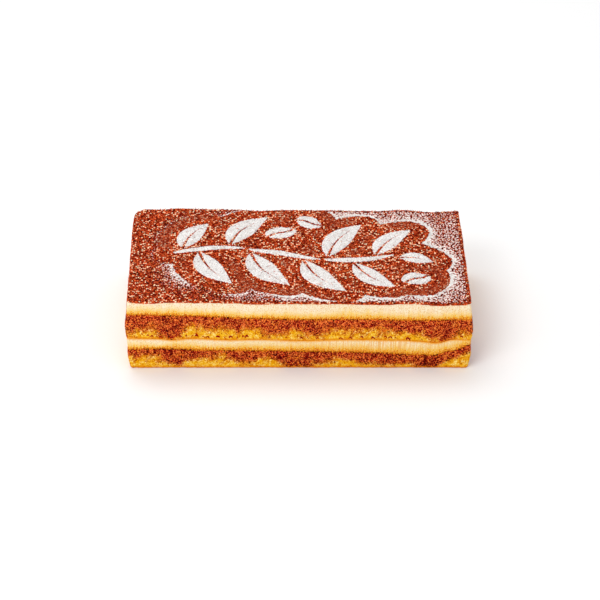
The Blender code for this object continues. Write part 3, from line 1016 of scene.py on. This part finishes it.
def sponge_material():
    """Golden crumb, red-brown where the coffee has soaked it, with painted shade in its pores and crack."""
    n = Nodes("sponge_crumb")
    mottle = n.times(n.centred(0.62, 1, 0.4, warp=1.2), 1.3)
    patches = n.centred(2.2)
    blots = n.centred(4.0)
    luck, near = n.cell_number(1.2)
    rare = n.times(n.step(luck, 0.84, 0.9), n.step(near, 0.45, 0.2))
    # Painted shade in the pores, deeper ones darker, darkens both the dry and the wet crumb.
    pit_shade = n.attribute("pit_shade")
    soaked = n.plus(n.attribute("soak"), (mottle, 1.5), (blots, 1.3))
    dry = n.ramp(n.plus(0.28, (patches, 1.0), (mottle, 0.65), (pit_shade, 0.2), (rare, 0.4)), DRY_CRUMB)
    wet = n.ramp(n.plus(
        -0.16, (patches, 1.8), (mottle, 5.6), (pit_shade, 0.3), (rare, 0.4), (n.attribute("strong"), 0.4),
        (n.step(soaked, 0.25, 1.2), 0.55), (blots, 1.2)), WET_CRUMB)
    skin = n.plus(n.attribute("skin"), (mottle, 0.9))
    foot = n.plus(n.attribute("above"), (mottle, 2.6))
    brow = n.plus(n.attribute("below"), (mottle, 3.0))
    # Rare near-black spots of painted shade, standing for deep pores, only in soaked crumb.
    pore_shade_spots = n.times(n.step(luck, 0.91, 0.93), n.step(near, 0.5, 0.3))
    colour = n.coated(
        dry, (n.step(soaked, -0.05, 0.5, 0.85), THIN_COFFEE), (n.step(soaked, 0.2, 0.95), wet),
        (n.step(foot, 1.7, 0.6, 0.65), CRUMB_FOOT),
        (n.step(skin, 0.15, 0.5), SKIN_BROWN), (n.step(skin, 0.45, 0.9), SKIN_DARK),
        (n.step(brow, 0.55, 0.1, 0.9), CRUMB_BROW),
        (n.times(pore_shade_spots, n.step(soaked, 0.1, 0.5)), PAINTED_PORE_SHADE))
    n.bump(n.noise(0.45, 2, 0.6), 0.5, 0.2)
    return n.finish(colour, n.step(n.attribute("soak"), 1.6, -0.6), soft=0.04, shine=0.03)


def cream_material():
    """Pale cream over an amber foot, with the knife's drag marks in it."""
    n = Nodes("whipped_cream")
    streaks = n.centred(0.6, scale=(1, 1, 30))
    fine = n.centred(0.5, 0)
    above = n.plus(n.attribute("above"), (streaks, 3.4), (fine, 6.0))
    pale = n.ramp(n.math("DIVIDE", above, CREAM_HEIGHT), CREAM_RISE)
    speckle = n.times(n.step(fine, -0.02, 0.2, 0.8), n.step(above, 1.2, 3.2))
    strokes = n.times(n.strokes(1.5), n.times(n.attribute("streaky"), 0.5))
    lid = n.step(n.plus(n.attribute("below"), (fine, 2.4)), 1.0, 0.2, 0.85)
    colour = n.coated(
        pale, (speckle, CREAM_SPECKLE), (n.step(streaks, 0.04, 0.18, 0.3), CREAM_LINE),
        (strokes, CREAM_STROKE), (lid, CREAM_LID))
    n.bump(streaks, 0.35, 0.2)
    return n.finish(colour, n.step(fine, -1.2, 1.2), soft=0.08, shine=0.2)


def cocoa_material():
    """Cocoa in clumps, white where the sugar lies in shapes and in flecks, with painted shade between the
    clumps and painted glints on them.
    """
    n = Nodes("cocoa_powder")
    clump, near = n.cell_number(CLUMP, flat=True)
    grainy = n.centred(0.55, 0)
    press, dust, tint = n.attribute("press"), n.attribute("dust"), n.attribute("tint")
    # Painted shade in the low gaps between clumps: darker away from each clump's middle.
    deep = n.step(near, 0.3, 0.62)
    brown = n.plus(0.14, (grainy, 2.2), (clump, 0.8), (tint, 1.0), (deep, -0.3), (dust, -0.7))
    packed = n.ramp(n.plus(0.25, (clump, 0.4), (grainy, 3.4)), COCOA_PACKED, ease=True)
    # Painted glints: bright spots with a warm halo, fewer where sugar dust lies.
    glint, around = n.cell_number(GLINT_SIZE, flat=True)
    glint = n.step(n.plus(glint, (dust, -0.3)), 0.78, 0.84)
    around = n.plus(around, (grainy, 0.8))
    brown = n.coated(
        n.ramp(brown, COCOA_BROWN), (n.times(glint, n.step(around, 0.7, 0.4)), PAINTED_GLINT_HALO),
        (n.times(glint, n.step(around, 0.5, 0.28)), PAINTED_GLINT_CORE), (n.step(tint, 0.2, 0.28), PALE_GRAIN),
        (n.times(press, 0.7), packed), (n.times(n.attribute("rim"), 0.5), COCOA_RIM))

    shape = n.step(n.plus(n.attribute("gap"), (n.centred(0.8, 2, 0.6), 1.1)), 0.06, -0.14)
    fleck, middle = n.cell_number(FLECK, flat=True)
    spot = n.plus(middle, (fleck, 0.16), (grainy, 0.5), (dust, -0.95))
    loose = n.step(spot, 0.06, -0.04)
    thin = n.times(n.step(spot, -0.24, 0.0, 0.95), n.math("SUBTRACT", 1.0, shape))
    white = n.coated(n.ramp(n.noise(0.6, 2, 0.6), SUGAR_WHITE, ease=True),
                     (n.times(loose, 0.5), SUGAR_LOOSE), (thin, SUGAR_THIN))
    holes = n.step(n.cell_number(1.1)[0], 0.9, 0.96)
    cover = n.math("MAXIMUM", loose, n.times(shape, n.plus(1.0, (holes, -0.6))))
    n.bump(n.plus(n.noise(0.5, 2, 0.7), (near, -0.8)), 0.6, 0.3)
    return n.finish(n.coated(brown, (cover, white)), 0.92, shine=0.02)


def sugar_grain_material():
    """White, and a little darker from grain to grain."""
    n = Nodes("sugar_grains")
    colour = n.ramp(n.plus(0.5, (n.attribute("tint"), 1.6)), SUGAR_GRAIN, ease=True)
    return n.finish(colour, 0.5)


# ------ stage

PITCH = math.radians(33.5)  # of the camera, below level
LENS = 110.2
SENSOR = 36.0
DISTANCE = 955.0  # along the view, to the top edge of the slab's front side
EDGE_HEIGHT = 41.2
BELOW_MIDDLE = 2.1  # of that edge in the view

# Lamps, in metres: name, place, size and power.
LAMPS = [("key", (-0.55, -0.75, 0.95), (0.7, 0.5), 5.5), ("top", (-0.25, 0.45, 1.1), (0.8, 0.6), 4.5)]
LAMP_AIM = (0, 0, 0.02)
SKY_STRENGTH = 0.75
FLOOR_HALF = 4.0
FLOOR_DROP = 0.0002  # below the slab's underside
FLOOR_COLOUR = (0.9, 0.9, 0.9, 1)


def add_camera():
    """The camera of the photo's view."""
    data = bpy.data.cameras.new("camera")
    data.lens = LENS
    data.sensor_width = SENSOR
    data.clip_start = 0.05
    camera = add_object("camera", data)
    ahead = np.array([0, math.cos(PITCH), -math.sin(PITCH)])
    up = np.array([0, math.sin(PITCH), math.cos(PITCH)])
    edge = np.array([0, -DEPTH / 2, EDGE_HEIGHT])
    camera.location = (edge - DISTANCE * ahead + BELOW_MIDDLE * up) * MM
    camera.location.x = SHIFT[0] * MM
    camera.rotation_euler = (math.pi / 2 - PITCH, 0, 0)
    bpy.context.scene.camera = camera


def add_lamp(name, place, size, power):
    """A soft lamp that looks at the slab."""
    data = bpy.data.lights.new(name, "AREA")
    data.shape = "RECTANGLE"
    data.size, data.size_y = size
    data.energy = power
    lamp = add_object(name, data)
    lamp.location = place
    away = Vector(place) - Vector(LAMP_AIM)
    lamp.rotation_euler = away.to_track_quat("Z", "Y").to_euler()


def add_stage():
    """A white room with two lamps, and a floor that takes the slab's shadow."""
    world = bpy.data.worlds.new("studio")
    world.use_nodes = True
    background = world.node_tree.nodes["Background"]
    background.inputs["Color"].default_value = (1, 1, 1, 1)
    background.inputs["Strength"].default_value = SKY_STRENGTH
    bpy.context.scene.world = world
    for lamp in LAMPS:
        add_lamp(*lamp)
    corners = [(x * FLOOR_HALF, y * FLOOR_HALF, 0) for x, y in ((-1, -1), (1, -1), (1, 1), (-1, 1))]
    floor_mesh = bpy.data.meshes.new("floor")
    floor_mesh.from_pydata(corners, [], [(0, 1, 2, 3)])
    floor_mesh.materials.append(Nodes("floor").finish(FLOOR_COLOUR, 0.9))
    floor = add_object("floor", floor_mesh)
    floor.location.z = -FLOOR_DROP
    settings = bpy.context.scene.view_settings
    settings.view_transform = "Standard"
    settings.look = "None"


# ------ the whole

def main():
    """Adds the stage, the five layers from below, and the loose powders."""
    add_camera()
    add_stage()
    sponge = sponge_material()
    cream = cream_material()
    make_sponge("sponge_lower", underside, lower_sponge_top, (FOOT_BULGE, SIDE_BULGE, JOINT_BULGE), rows=34,
                soaked=LOWER_SOAK, strength=0.5, skin=None, crack=CRACK, seed=100, material=sponge)
    make_cream("cream_lower", lower_sponge_top, lower_cream_top, (JOINT_BULGE,) * 3, rows=16,
               warmth=LOWER_WARMTH, lid=True, seed=200, material=cream)
    make_sponge("sponge_upper", lower_cream_top, upper_sponge_top, (JOINT_BULGE, SIDE_BULGE, JOINT_BULGE),
                rows=38, soaked=UPPER_SOAK, strength=0.08, skin=UPPER_SKIN, crack=None, seed=300,
                material=sponge)
    make_cream("cream_upper", upper_sponge_top, cocoa_floor, (JOINT_BULGE, JOINT_BULGE / 2, 0.0), rows=20,
               warmth=UPPER_WARMTH, lid=False, seed=400, material=cream)
    cocoa = cocoa_material()
    make_cocoa(cocoa)
    scatter_powders(cocoa, sugar_grain_material())


main()
